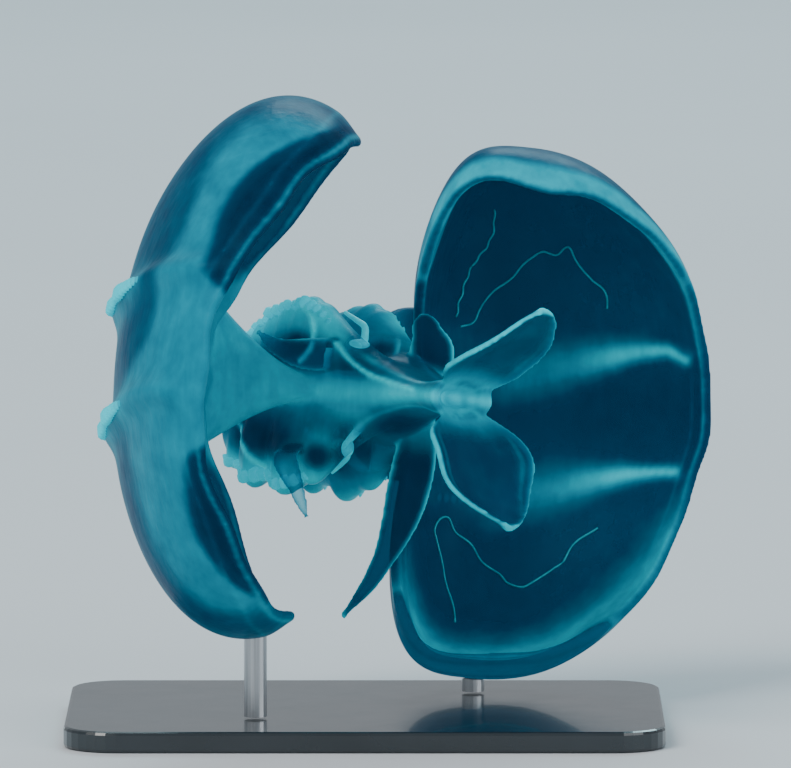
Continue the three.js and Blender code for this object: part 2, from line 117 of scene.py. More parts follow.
VIEW_RIGHT = np.array([1.0, 0.0, 0.0])
VIEW_UP = np.array([0.0, math.sin(TIP_BACK), math.cos(TIP_BACK)])
VIEW_FRONT = np.array([0.0, -math.cos(TIP_BACK), math.sin(TIP_BACK)])
AXIS_UP = math.sin(LEAN) * VIEW_RIGHT + math.cos(LEAN) * VIEW_UP
ACROSS = math.cos(LEAN) * VIEW_RIGHT - math.sin(LEAN) * VIEW_UP
AXIS_O = (ACROSS + VIEW_FRONT) / math.sqrt(2)
AXIS_S = (ACROSS - VIEW_FRONT) / math.sqrt(2)


def to_row(p):
    """Animal frame in millimetres to row frame in metres."""
    world = BODY_MIDDLE + p[..., :1] * AXIS_O + p[..., 1:2] * AXIS_S + p[..., 2:3] * AXIS_UP
    return world * MM


def from_lobe(side, p):
    """Lobe frame (t, l, n) to animal frame (o, s, t)."""
    t, l, n = p[..., 0], p[..., 1], p[..., 2]
    root = math.sqrt(0.5)
    return vec((l - n) * root, side * (LOBE_SIDE + (l + n) * root), t - side * LOBE_T_SHIFT)


# ---- closed surfaces -----------------------------------------------------------------------------


class Shape:
    """Points, faces and marks of one closed surface. marks holds (bright, solid) at each point."""

    def __init__(self, points, faces, marks):
        self.points, self.faces, self.marks = points, faces, marks


def loft(rings, marks, first=None, last=None):
    """Joins rings, an array (rings, round, 3), into a closed surface. first and last are the end
    points, or the rings' own middles."""
    count, around = rings.shape[:2]
    first = rings[0].mean(axis=0) if first is None else first
    last = rings[-1].mean(axis=0) if last is None else last
    points = np.concatenate([rings.reshape(-1, 3), [first, last]])
    every = np.broadcast_to(marks, (count, around, 2)) if np.ndim(marks) < 3 else marks
    ends = [every[0].mean(axis=0), every[-1].mean(axis=0)]
    all_marks = np.concatenate([every.reshape(-1, 2), ends])
    here = np.arange(around)
    after = (here + 1) % around
    faces = []
    for i in range(count - 1):
        low, high = i * around, (i + 1) * around
        faces += np.stack([low + here, low + after, high + after, high + here], axis=1).tolist()
    start, end = count * around, count * around + 1
    faces += [[start, int(b), int(a)] for a, b in zip(here, after)]
    top = (count - 1) * around
    faces += [[end, int(top + a), int(top + b)] for a, b in zip(here, after)]
    return Shape(points, faces, all_marks)


def placed(name, data):
    """A new object, in the scene."""
    obj = bpy.data.objects.new(name, data)
    bpy.context.scene.collection.objects.link(obj)
    return obj


def mesh_object(name, shapes):
    """One mesh object in the row frame from several shapes."""
    points, faces, base = [], [], 0
    for shape in shapes:
        points.append(shape.points)
        faces += [[base + i for i in face] for face in shape.faces]
        base += len(shape.points)
    mesh = bpy.data.meshes.new(name)
    mesh.from_pydata(to_row(np.concatenate(points)).tolist(), [], faces)
    mesh.shade_smooth()
    return placed(name, mesh)


def off_surface(face, u, v, distance, inside):
    """Points of a surface moved along its outward normal. inside is a point on the inner side."""
    step = 1e-4
    point = face(u, v)
    du = face(u + step, v) - face(u - step, v)
    dv = face(u, v + step) - face(u, v - step)
    normal = unit(np.cross(du, dv))
    outward = np.sign(np.sum(normal * (point - inside), axis=-1, keepdims=True))
    return point + normal * outward * np.asarray(distance)[..., None]


SPLINE_STEPS = 24  # for each given point, before they are spaced evenly


def spline(points, count):
    """Points along a Catmull-Rom curve through the given ones, evenly spaced."""
    p = np.asarray(points, float)
    p = np.concatenate([[2 * p[0] - p[1]], p, [2 * p[-1] - p[-2]]])
    f = np.linspace(0, len(p) - 3 - 1e-9, SPLINE_STEPS * len(p))
    i = f.astype(int)
    x = (f - i)[:, None]
    a, b, c, d = p[i], p[i + 1], p[i + 2], p[i + 3]
    fine = 0.5 * (2 * b + (c - a) * x + (2 * a - 5 * b + 4 * c - d) * x**2 + (3 * b - a - 3 * c + d) * x**3)
    along = np.concatenate([[0], np.cumsum(np.linalg.norm(np.diff(fine, axis=0), axis=1))])
    even = np.linspace(0, along[-1], count)
    return np.stack([np.interp(even, along, fine[:, k]) for k in range(fine.shape[1])], axis=1)


NOT_ALONG = np.array([0.3, 0.5, 0.8])  # a direction that no tube runs in


def tube(path, radius, marks=(1.0, 0.95), sides=8):
    """A closed tube along a path in the animal frame. radius may change along it."""
    path = np.asarray(path, float)
    tangent = unit(np.gradient(path, axis=0))
    across = unit(np.cross(tangent, NOT_ALONG))
    other = np.cross(tangent, across)
    turn = np.linspace(0, 2 * math.pi, sides, endpoint=False)
    radius = np.broadcast_to(radius, len(path))[:, None, None]
    ring = across[:, None] * np.cos(turn)[None, :, None] + other[:, None] * np.sin(turn)[None, :, None]
    return loft(path[:, None] + ring * radius, np.array(marks))


# ---- marks ---------------------------------------------------------------------------------------


def paint(marks, where, target):
    """Mixes a (bright, solid) pair of marks toward another, by the share given in where."""
    return tuple(mix(mark, value, where) for mark, value in zip(marks, target))


def add_light(marks, where, target):
    """The same, but nowhere darker or clearer than before."""
    return tuple(np.maximum(mark, value) for mark, value in zip(marks, paint(marks, where, target)))


def oval(r, t, r_at, t_at, half_r, half_t, crispness):
    """An oval patch around (r_at, t_at), soft at its rim."""
    return np.exp(-((((r - r_at) / half_r) ** 2 + ((t - t_at) / half_t) ** 2) ** crispness))


# ---- lobes ---------------------------------------------------------------------------------------


def lobe_outline(theta):
    along_t, along_l = np.abs(np.cos(theta)), np.sin(theta)
    power = np.where(along_l >= 0, 2.0, PROXIMAL_POWER)
    distal = LOBE_DISTAL + LOBE_BULGE * np.maximum(along_l, 0) ** 4
    reach = np.where(along_l >= 0, distal, LOBE_PROXIMAL)
    return ((along_t / LOBE_T) ** power + (np.abs(along_l) / reach) ** power) ** (-1 / power)


def edge_angle(theta):
    curl = np.where(np.cos(theta) > 0, CURL_UPPER, CURL_LOWER)
    powers = [np.where(np.cos(theta) > 0, *pair) for pair in zip(CURL_POWER_UPPER, CURL_POWER_LOWER)]
    power = np.where(np.sin(theta) >= 0, *powers)
    return np.radians(mix(EDGE_MIDDLE, curl, np.abs(np.cos(theta)) ** power))


def lobe_face(theta, phi):
    reach = lobe_outline(theta) * np.sin(phi)
    return vec(reach * np.cos(theta), reach * np.sin(theta), LOBE_DEPTH * np.cos(phi))


def lobe_wall(theta, phi):
    return WALL + WALL_ENDS * (np.cos(theta) * np.sin(phi)) ** 2


def comb_line_t(l, level, side):
    """Where a lobe's comb row lies across the lobe, for each l."""
    drift = COMB_DRIFT + COMB_DRIFT_PER_L * np.maximum(0, l) - side * COMB_DRIFT_SIDE
    return level * COMB_SPREAD + drift - COMB_BEND * np.maximum(0, l - COMB_BEND_FROM) ** 2


def lobe_polar(t, l):
    """The (theta, phi) of the outer face above a point of the lobe's t-l plane."""
    theta = np.arctan2(l, t)
    return theta, np.arcsin(np.clip(np.hypot(t, l) / lobe_outline(theta), 0, 0.999))


# The (bright, solid) pairs that the lobes are painted with.
# The crescent's pair is painted glow over the left lobe's muscle, where the view runs a long way through the
# wall.
FREE_EDGE, DIM_BACK, CRESCENT_GLOW = (0.08, 0.60), (0.29, 0.78), (0.52, 0.97)
# The band's pair is muscle with painted glow, where the view runs along the right lobe's wall.
MUSCLE_AND_GLOW_BAND, WEB_ON_LOBE, EDGE_LINE_AND_FOLD_HIGHLIGHT, COMB_LIGHT = (0.68, 0.92), (0.55, 0.90), (0.68, 0.85), (0.82, 0.90)
RIM_LIGHT = 0.12  # how much brighter the left lobe's outline is than its back
# Where the left lobe's muscle ends toward its free edge: its n half way up, how far that drops
# toward the two ends, and how far up and how suddenly it does.
MUSCLE_N, MUSCLE_DROP, MUSCLE_HALF_T, MUSCLE_POWER = 9.0, 13.4, 33.0, 5.5
# The right lobe's sheet, painted dark as shade: brightness near the body, what it gains toward the
# free edge and at the two ends, and its solidity.
SHEET_BRIGHT, SHEET_OUTWARD, SHEET_ENDS, SHEET_SOLID = 0.08, 0.14, 0.03, 0.68
# Its ends that curl over: how bright the upper one is, how much more solid, and how much clearer
# the lower one is.
FLAP_BRIGHT, FLAP_SOLID, FLAP_CLEAR = 0.30, 0.14, 0.48
RAY_WIDE, RAY_NARROW, RAY_SHIFT = 4.6, 1.1, 1.5


def upper_and_lower(theta):
    """How much a point belongs to a lobe's upper end, and how much to its lower one."""
    return ease(0.1, 0.5, np.cos(theta)), ease(-0.1, -0.5, np.cos(theta))


def web_joint(t):
    """1 where the web joins a lobe, half way up it, and 0 above and below."""
    return ease(13, 8, np.abs(t + 1))


def edge_on_marks(t, n):
    """The left lobe: a bright crescent between a clear free edge and a dim back. The crescent is its muscle
    with painted glow where the view runs a long way through the wall.
    """
    muscle_from = MUSCLE_N - MUSCLE_DROP * np.abs(t / MUSCLE_HALF_T) ** MUSCLE_POWER
    muscle = ease(-0.9, 1.2, n - muscle_from + 5 * web_joint(t))
    back = np.hypot(t / LOBE_T, n / LOBE_DEPTH)
    limit = mix(0.90, mix(0.77, 0.905, ease(15, 34, t)), ease(-5, 4, t))
    # Painted glow inside the dim margin, where the view runs a long way through the wall.
    crescent = muscle * ease(limit + 0.05, limit - 0.03, back)
    rim = bump(back, 0.995, 0.012)
    marks = paint(FREE_EDGE, muscle, (DIM_BACK[0] + RIM_LIGHT * rim, DIM_BACK[1]))
    return paint(marks, crescent, CRESCENT_GLOW)


def open_side_marks(outer, theta, phi, share, t, l):
    """The right lobe: a thin sheet with painted shade, darkest between the comb rows, with a band round its
    rim: muscle with painted glow where the view runs along the wall.
    """
    upper, lower = upper_and_lower(theta)
    degrees = np.degrees(phi)
    wedge = bump(t, 2.5, 8.5) * ease(3, 12, l)
    ends = ease(0.35, 0.75, np.abs(np.cos(theta)))
    bright = SHEET_BRIGHT + SHEET_OUTWARD * ease(-6, 22, l) * (1 - wedge) + SHEET_ENDS * ends
    flap = ease(87, 94, degrees) * (upper + lower)
    bright = np.maximum(bright, FLAP_BRIGHT * flap * upper)
    solid = SHEET_SOLID + flap * (FLAP_SOLID * upper - FLAP_CLEAR * lower)

    # The band runs along the upper free edge and narrows to a line toward the middle of it.
    reach = mix(0.985, 0.915, ease(0.35, 0.9, np.cos(theta)))
    band = ease(reach - 0.02, reach + 0.03, share) * ease(-0.75, -0.35, np.sin(theta))
    band = band * mix(0.15, 1, ease(0.3, 0.8, np.cos(theta))) * ease(1.02, 1.005, share)
    # At the lower end it lies on the inner face, soft inward and crisp on the side of the fold.
    band_lower = ease(52, 78, degrees) * ease(91, 87, degrees) * lower
    band_lower = band_lower * ease(-0.75, -0.3, np.sin(theta))
    band = np.maximum(band * (1 - lower), (0.4 if outer else 1.0) * band_lower)
    return paint((bright, solid), band, MUSCLE_AND_GLOW_BAND)


def edge_lines_and_fold_highlight(side, theta, phi, share, t):
    """Lines on the free edge and just inside it, and a painted highlight where the right lobe's ends curl
    over and its wall is seen edge-on.
    """
    upper, lower = upper_and_lower(theta)
    right = side > 0
    line = bump(share, 0.985, 0.012) * (1 - 0.6 * lower * right)
    line = line + 0.5 * bump(share, 0.90, 0.008) * (1 - upper * right)
    if right:
        # A painted highlight along the fold, where the wall is seen edge-on.
        fold = bump(np.degrees(phi), 90, 1.8) * ease(0.5, 0.75, np.abs(np.cos(theta)))
        return np.clip(line + 0.8 * fold, 0, 1)
    return np.clip(line * (1 - web_joint(t)), 0, 1)


def comb_light(side, level, t, l):
    """The glow along a comb row. On the right lobe it is wide and faint toward the body."""
    offset = t - comb_line_t(l, level, side)
    if side < 0:
        strength = 0.5 * ease(-6, 0, l) * ease(18, 13, l)
    else:
        strength = mix(0.58, 1.0, ease(4, 20, l)) * ease(-8, 2, l) * ease(28, 26.5, l)
        if level > 0:
            offset = offset - RAY_SHIFT * ease(27, 23, l)  # it lies on the row's upper flank
    return bump(offset, 0, mix(RAY_WIDE, RAY_NARROW, ease(2, 25, l))) * strength


def lobe_marks(side, outer, theta, phi, share):
    """Brightness and solidity of the jelly on a lobe's outer or inner face."""
    p = lobe_face(theta, phi)
    t, l, n = p[..., 0], p[..., 1], p[..., 2]
    if side < 0:
        marks = edge_on_marks(t, n)
    else:
        marks = open_side_marks(outer, theta, phi, share, t, l)
    # Where the web runs into the wall that faces the body, the jelly is as thick as the web.
    web = ease(1, -8, l) * ease(17, 11, np.abs(t + 1)) * (1.0 if side < 0 else 0.4)
    marks = paint(marks, web, WEB_ON_LOBE)
    # The edge lines, and on the right lobe the fold's painted highlight.
    marks = add_light(marks, edge_lines_and_fold_highlight(side, theta, phi, share, t), EDGE_LINE_AND_FOLD_HIGHLIGHT)
    for level in LEVELS.values():
        marks = add_light(marks, comb_light(side, level, t, l) * (n > 0), COMB_LIGHT)
    return np.stack(marks, axis=-1)


KEEL, KEEL_HALF = 1.4, 2.1  # how far the jelly stands up under a comb row, and how wide
EDGE_THINNER = 0.25  # share of the wall lost on each face at the free edge
SWELL = 0.25  # how far the wall waves in and out
TIP_SHARE = 1.03  # the rounded edge itself, as a share of the way out to it


def keel_height(side, face):
    """How far the jelly stands up under a lobe's comb rows, at points of its outer face."""
    t, l, n = face[..., 0], face[..., 1], face[..., 2]
    along = ease(-12, -5, l) * ease(29, 25, l) * (n > 0)
    return sum(
        KEEL * bump(t - comb_line_t(l, level, side), 0, KEEL_HALF) * along for level in LEVELS.values()
    )


def lobe_shape(side, spokes=400, rows=100):
    theta = np.linspace(0, 2 * math.pi, spokes, endpoint=False)[None, :] + 1e-3
    share = (np.arange(1, rows + 1) / rows)[:, None]
    ripple = 0.012 * np.sin(9 * theta + side) + 0.008 * np.sin(17 * theta)
    phi = edge_angle(theta) * share * (1 + ripple * share**6)
    face = lobe_face(theta, phi)
    waves = np.sin(0.21 * face[..., 0] + 1.3) * np.sin(0.24 * face[..., 1] + side)
    swell = SWELL * waves * np.sin(phi)
    wall = lobe_wall(theta, phi)
    thinner = EDGE_THINNER * ease(0.9, 1, share) * wall * mix(0.4, 1, np.abs(np.cos(theta)) ** 2)
    middle = np.zeros(3)
    outer = off_surface(lobe_face, theta, phi, keel_height(side, face) + swell - thinner, middle)
    inner = off_surface(lobe_face, theta, phi, swell - wall + thinner, middle)
    tip = off_surface(lobe_face, theta, phi[-1:] * 1.01, -wall[-1:] / 2, middle)
    whole = np.ones_like(phi)
    marks = np.concatenate(
        [
            lobe_marks(side, True, theta * whole, phi, share * whole),
            lobe_marks(side, True, theta, phi[-1:], TIP_SHARE * whole[-1:]),
            lobe_marks(side, False, theta * whole, phi, share * whole)[::-1],
        ]
    )
    rings = np.concatenate([outer, tip, inner[::-1]])
    back = np.array([0, 0, LOBE_DEPTH])
    return loft(from_lobe(side, rings), marks, from_lobe(side, back), from_lobe(side, back - [0, 0, WALL]))


# ---- body and webs -------------------------------------------------------------------------------


CORNER_SHIFTS = (-1.0, -0.5, 0.0, 0.5, 1.0)
DOME_POWER = 2.3  # how square the aboral end is


def crest_height(profile, o):
    """A profile's height at o, with its corners rounded."""
    at, height = np.array(profile, float).T
    return sum(np.interp(o + shift, at, height) for shift in CORNER_SHIFTS) / len(CORNER_SHIFTS)


def body_face(turn, o):
    """The body's surface: four ridges, with deep grooves between them, that fade toward the mouth."""
    back = np.clip((BODY_WIDEST - o) / (BODY_WIDEST - BODY_ABORAL), 0, 1)
    dome = np.maximum(0, 1 - back**DOME_POWER) ** (1 / DOME_POWER)
    to_mouth = ease(TAPER_FROM, TAPER_TO, o)
    ridged = (1 - to_mouth) * ease(0.1, 0.75, dome)
    across = np.cos(2 * turn) ** 2
    groove = GROOVE_T * np.sin(turn) ** 2 + GROOVE_S * np.cos(turn) ** 2
    radius = mix(math.sqrt(0.5), 1 - across * groove, ridged) * math.sqrt(2)
    height = np.where(np.sin(turn) > 0, crest_height(CREST_UPPER, o), crest_height(CREST_LOWER, o))
    wide = RIDGE_S * mix(1, MOUTH_S, ease(2, 15, o))
    middle_t = AXIS_T * (1 - to_mouth)
    return vec(o, radius * dome * np.cos(turn) * wide, radius * height * np.sin(turn) + middle_t)


LUMP_AT, LUMP_PITCH = -18.5, 7.0  # where one lump on a lower ridge is, and how far to the next
UPPER_SWELL, FINE_SWELL = 0.2, 0.22


def body_swelling(turn, o):
    """How far the jelly stands off body_face: a lump under each group of combs on the lower ridges."""
    crest = np.abs(np.sin(2 * turn)) ** 3
    lower = np.cos((o - LUMP_AT) * 2 * math.pi / LUMP_PITCH) * ease(-25, -21, o) * ease(-5, -9, o)
    fine = FINE_SWELL * np.sin(2.1 * o + 2 * np.sin(5 * turn)) * ease(-29, -25, o) * ease(-5, -9, o)
    return crest * (np.where(np.sin(turn) > 0, UPPER_SWELL, lower) + fine)


# (bright, solid): between the crests, added on them, in the throat, and the painted shade of the dark
# pockets.
BODY_PLAIN, CREST_LIGHT, THROAT_LIGHT, POCKET_PAINTED_SHADE = (0.42, 0.68), (0.42, 0.22), (0.86, 0.92), (0.08, 0.88)
THROAT_SOLID = 0.62  # how solid the throat's glow starts
WINDOW_CLEAR = 0.86  # how much of the jelly's solidity is lost over a tentacle bulb
POCKET_CRISP, WINDOW_CRISP = 1.6, 2


def body_marks(p, turn):
    """Brightness and solidity over the body. r runs along it as seen from either flat side."""
    o, s, t = p[..., 0], p[..., 1], p[..., 2]
    r = (o - np.abs(s)) / math.sqrt(2)
    diagonal = np.abs(np.sin(2 * turn))  # 1 along the four ridges
    crest = diagonal ** np.where(np.sin(turn) > 0, 5, 4) * ease(-29, -23, o) * ease(1, -6, o)
    crest = np.maximum(crest, 0.8 * diagonal**60 * ease(-8, -2, o))
    bright = BODY_PLAIN[0] + CREST_LIGHT[0] * crest
    solid = BODY_PLAIN[1] + CREST_LIGHT[1] * crest
    # The flat throat shows through as a bright band along the axis.
    throat = bump(t, -1.3 + 0.07 * (r + 12), mix(2.4, 1.3, ease(-2, 6, r))) * ease(-23, -14, r)
    throat = throat * mix(1, 0.6, ease(7, 11, r))
    glow = bump(t, -2.4, 3.6) * bump(r, -6, 7)
    bright = np.maximum(bright, mix(BODY_PLAIN[0], THROAT_LIGHT[0], np.maximum(throat, 0.6 * glow)))
    solid = np.maximum(solid, mix(THROAT_SOLID, THROAT_LIGHT[1], np.maximum(throat, 0.7 * glow)))
    # Painted shade darkens the pockets between the bands.
    for *place, depth in POCKETS:
        bright, solid = paint((bright, solid), depth * oval(r, t, *place, POCKET_CRISP), POCKET_PAINTED_SHADE)
    # Over the tentacle bulbs the jelly is clear enough to see them.
    for place in WINDOWS:
        solid = solid * (1 - WINDOW_CLEAR * oval(r, t, *place, WINDOW_CRISP))
    return np.stack([bright, solid], axis=-1)


LAST_STATION = BODY_MOUTH - 1.5  # the lips' roots hide the mouth's own edge
MOUTH_FLARE = 0.35  # how much wider the body gets at the mouth
MOUTH_STEPS = [(0.1, 0.86), (0.5, 0.72), (1.4, 0.55), (3.0, 0.2)]  # depth and share of the rim's size
# Pockets of painted shade between the bands: r, t, half length, half height and depth of each.
POCKETS = [(-13.3, 5.2, 1.7, 1.5, 0.9), (-13.4, 3.9, 4.6, 2.2, 0.6), (-17.0, -8.2, 5.0, 3.2, 0.9),
           (-8.6, -10.4, 1.9, 1.9, 0.9), (0.5, 5.5, 2.6, 2.6, 0.4), (3.0, -5.0, 4.0, 2.0, 0.9),
           (-4.6, 2.6, 3.4, 1.3, 0.5)]
WINDOWS = [(-4.4, 5.7, 2.6, 1.7), (-4.8, -8.6, 2.2, 3.4)]  # the same, without a depth


def body_shape(spokes=240, stations=190):
    turn = np.linspace(0, 2 * math.pi, spokes, endpoint=False)[None, :] + 1e-3
    f = np.linspace(0.05, 0.98, stations)
    o = mix(BODY_ABORAL, LAST_STATION, 0.5 - 0.5 * np.cos(math.pi * f))[:, None]
    rings = off_surface(body_face, turn, o, body_swelling(turn, o), vec(o, 0, AXIS_T))
    axis = vec(o, 0, AXIS_T * (1 - ease(TAPER_FROM, TAPER_TO, o)))
    rings = axis + (rings - axis) * (1 + MOUTH_FLARE * ease(10.5, LAST_STATION, o))[..., None]
    throat = [rings[-1] * [0, share, share] + [LAST_STATION - deep, 0, 0] for deep, share in MOUTH_STEPS]
    rings = np.concatenate([rings, throat])
    turn = np.broadcast_to(turn, rings.shape[:2])
    ends = [np.array([BODY_ABORAL, 0, AXIS_T]), np.array([LAST_STATION - MOUTH_STEPS[-1][0], 0, 0])]
    return loft(rings, body_marks(rings, turn), *ends)


WALL_MIDDLE = 0.955  # the middle of a lobe's wall, as a share of the way to its outer face


def kept_out_of_bowl(side, p):
    """Moves points that lie in a lobe's hollow out to the middle of its wall."""
    s = side * p[..., 1] - LOBE_SIDE
    l, n = (p[..., 0] + s) / math.sqrt(2), (s - p[..., 0]) / math.sqrt(2)
    t = p[..., 2] + side * LOBE_T_SHIFT
    theta = np.arctan2(l, t)
    depth = np.hypot(np.hypot(t, l) / lobe_outline(theta), n / LOBE_DEPTH)
    grow = np.maximum(1, WALL_MIDDLE / np.maximum(depth, 0.2))
    return from_lobe(side, vec(t * grow, l * grow, n * grow))


def wing_shape(side, spokes=110, stations=120):
    s = np.linspace(WING_ROOT, 27, stations)[:, None]
    turn = np.linspace(0, 2 * math.pi, spokes, endpoint=False)[None, :]
    fair = ease(WING_FLARE + 1, WING_END, s)
    middle = mix(*WING_MIDDLE_O, ease(0, WING_FLARE, s)) + WING_BACK_O * fair
    half_o = mix(mix(*WING_HALF_O, ease(0, WING_FLARE, s)), WING_END_HALF_O, fair)
    half_t = mix(WING_THIN_T, WING_FLARE_T, ease(WING_THIN, WING_FLARE + 4, s))
    rings = vec(
        middle + half_o * np.cos(turn),
        side * (s + 0 * turn),
        half_t * np.sin(turn) + AXIS_T * (1 - ease(0, WING_END, s)),
    )
    edge = ease(0.93, 0.99, np.abs(np.sin(turn))) + 0 * s
    root = ease(14, 5, s) * 0.16 + 0 * turn
    # The near web is painted bright, as glow where it is seen edge-on.
    if side < 0:
        bright, solid = 0.63 + 0.10 * edge + 0.6 * root, 0.95 + 0 * edge
    else:  # the far web: clear, with painted shade as dark as the lobe where it runs into it
        far = ease(16, 24, s) + 0 * edge
        bright, solid = mix(0.42, 0.16, far), mix(0.45, 0.68, far)
    return loft(kept_out_of_bowl(side, rings), np.stack(np.broadcast_arrays(bright, solid), axis=-1))


# ---- auricles, lips and small organs -------------------------------------------------------------

AURICLES = {
    "right_lower": dict(
        path=[(2.4, 4.6, -3.4), (2.3, 4.9, -8.5), (1.7, 3.9, -17.9), (-0.5, 2.3, -26), (-4, 0.3, -32.5)],
        broad=(1, 1, 0), width=5.8,
    ),
    "left_lower": dict(
        path=[(-9, -6.4, -9), (-7.6, -10.9, -10.8), (-3.8, -11.6, -15.3), (-0.5, -12.4, -18.9)],
        broad=(1, 1, 0.3), width=3.2, blunt=5, faint=1.0,
    ),
    "right_upper": dict(
        path=[(2.4, 5.2, 3.2), (2.9, 5.3, 5.6), (2.3, 4.8, 8.2), (0.5, 4.7, 11.3)],
        broad=(1, 1, 0.1), width=5.6, blunt=8,
    ),
    "left_upper": dict(
        path=[(-2.5, -4.5, 4.6), (-5.2, -11, 3.9), (-5.6, -17, 4.4), (-3.6, -23, 6.2)],
        broad=(0.3, 0, 1), width=4.6, faint=1.0,
    ),
}
AURICLE_THICK, AURICLE_LEAST_HALF = 1.7, 0.42
AURICLE_SHEET, AURICLE_EDGE = (0.20, 0.60), (0.84, 0.95)  # (bright, solid)


def auricle_shape(path, broad, width, blunt=2.2, faint=0.0, steps=130, around=64):
    """A ribbon with a bead on each edge, rounded at its free end. A faint one is clearer."""
    centre = spline(path, steps)
    f = np.linspace(0, 1, steps)[:, None]
    tangent = unit(np.gradient(centre, axis=0))
    across = np.asarray(broad, float) - tangent * np.sum(tangent * np.asarray(broad, float), axis=1)[:, None]
    across = unit(across)
    thin = np.cross(tangent, across)
    taper = (0.8 + 0.35 * np.sin(math.pi * np.minimum(1, f * 1.5))) * (1 - f**blunt) ** 0.75
    half = width / 2 * taper * mix(1, ease(-0.02, 0.16, f), faint)
    half = np.maximum(AURICLE_LEAST_HALF, half)
    turn = np.linspace(0, 2 * math.pi, around, endpoint=False)[None, :]
    x = np.cos(turn)
    # Thin in the middle, with a rounded bead along each edge.
    thick = AURICLE_THICK / 2 * (1 - 0.4 * f) * (0.55 + 0.6 * np.abs(x) ** 3) * (1 - 0.25 * faint)
    rings = centre[:, None] + across[:, None] * (half * x)[..., None]
    rings = rings + thin[:, None] * (thick * np.sin(turn))[..., None]
    edge = np.maximum(ease(0.76, 0.90, np.abs(x)) + 0 * f, ease(0.965, 0.992, f) + 0 * x)
    root = ease(0.22, 0.02, f) * (1 - faint) + 0 * x
    edge = edge * (1 - faint * ease(0.25, 0.1, f))
    sheet = (AURICLE_SHEET[0] + 0.08 * faint + 0.45 * root, AURICLE_SHEET[1] - 0.42 * faint + 0.25 * root)
    rim = (AURICLE_EDGE[0] - 0.14 * faint, AURICLE_EDGE[1] - 0.25 * faint)
    return loft(rings, np.stack(paint(sheet, edge, rim), axis=-1))


LIPS = {
    "upper": dict(line=[(13.6, 1.2), (20, 5.1), (25.5, 8.6), (29.8, 13.4)], cup=1.7),
    "lower": dict(line=[(13.8, -1.2), (20.4, -6.8), (22.6, -12.2), (27.9, -16.9)], cup=-1.9),
}
LIP_SHEET, LIP_BEAD = 0.75, 1.3  # thickness in the middle and along the edge
LIP_INSIDE = {"upper": (0.38, 0.55), "lower": (0.26, 0.55)}  # (bright, solid)
LIP_EDGE = (0.82, 0.95)
LIP_POINTS = 400
LIP_ROOT, LIP_SPREAD = (0.45, 0.78), 0.3  # shares of its width at the root, and where it is full


def lip_half(level, f):
    """Half a lip's width, at f of the way along it."""
    if level == "upper":
        return 7.1 * np.sqrt(1 - f * f) * (1 + 0.1 * np.sin(math.pi * f))
    return 5.2 * np.sqrt(1 - f**3) * (1 + 0.95 * np.sin(math.pi * f) ** 0.8)


def lip_shape(level, line, cup, steps=150, across=70):
    f = np.linspace(0, 0.988, steps)[:, None]
    path = spline([(o, 0, t) for o, t in line], LIP_POINTS)
    centre = path[(f[:, 0] * (LIP_POINTS - 1)).astype(int)]
    tangent = unit(np.gradient(centre, axis=0))
    normal = np.stack([-tangent[:, 2], 0 * tangent[:, 0], tangent[:, 0]], axis=1) * np.sign(cup)
    spread = np.sin(np.linspace(-math.pi / 2, math.pi / 2, across))
    x = np.concatenate([spread, spread[::-1]])[None, :]
    face = np.concatenate([np.full(across, 0.5), np.full(across, -0.5)])[None, :]
    bead = ease(0.90, 0.98, np.abs(x)) * np.where(x < 0, ease(0.02, 0.3, f), 1)
    bead = np.maximum(bead, ease(0.95, 0.987, f) + 0 * x)
    rounding = np.sqrt(np.clip(1 - (np.maximum(0, np.abs(x) - 0.91) / 0.09) ** 2, 0.04, 1))
    thick = mix(LIP_SHEET, LIP_BEAD, bead) * rounding
    dish = abs(cup) * (1 - x * x) * np.sin(math.pi * mix(0.05, 0.9, f))
    half = lip_half(level, f) * mix(np.where(x < 0, *LIP_ROOT), 1, ease(0, LIP_SPREAD, f))
    rings = centre[:, None] + vec(0, x * half, 0)
    rings = rings + normal[:, None] * (dish + face * thick)[..., None]
    line_in = bump(np.abs(x), 0.79, 0.035) * ease(0.1, 0.3, f)
    root = ease(0.32, 0.05, f)
    edge = np.maximum.reduce([bead, 0.5 * line_in, 0.75 * root + 0 * x])
    return loft(rings, np.stack(paint(LIP_INSIDE[level], edge, LIP_EDGE), axis=-1))


BALL_RINGS = 20


def ball(centre, radii, marks):
    polar = np.linspace(0, math.pi, BALL_RINGS + 2)[1:-1, None]
    turn = np.linspace(0, 2 * math.pi, 2 * BALL_RINGS, endpoint=False)[None, :]
    rings = vec(np.cos(polar) + 0 * turn, np.sin(polar) * np.cos(turn), np.sin(polar) * np.sin(turn))
    return loft(rings * radii + centre, np.array(marks))


TENTACLES = {
    "upper": dict(
        bulb=(-5.8, -0.6, 6.1), size=(1.7, 1.2, 0.65),
        path=[(-5.8, 0, 5.9), (-5.5, 0, 7.2), (-5.8, 0, 8.6), (-7.6, 0, 9.4), (-10, 0, 10.3)],
    ),
    "lower": dict(
        bulb=(-6.4, 0, -8.7), size=(0.9, 0.9, 1.3),
        path=[(-4.1, 0, -5.4), (-6.9, 0, -8.4), (-6.2, 0, -9.8), (-7.2, 0, -11), (-9, 0, -12.4)],
    ),
}
TENTACLE_RADII, TENTACLE_POINTS = (0.62, 0.28), 50  # radii at the root and at the tip
BULB_MARKS, ORGAN_MARKS, FOLD_MARKS = (1.0, 0.97), (0.8, 0.9), (0.92, 0.95)
ORGAN_SIZE = (1.4, 1.8, 1.8)
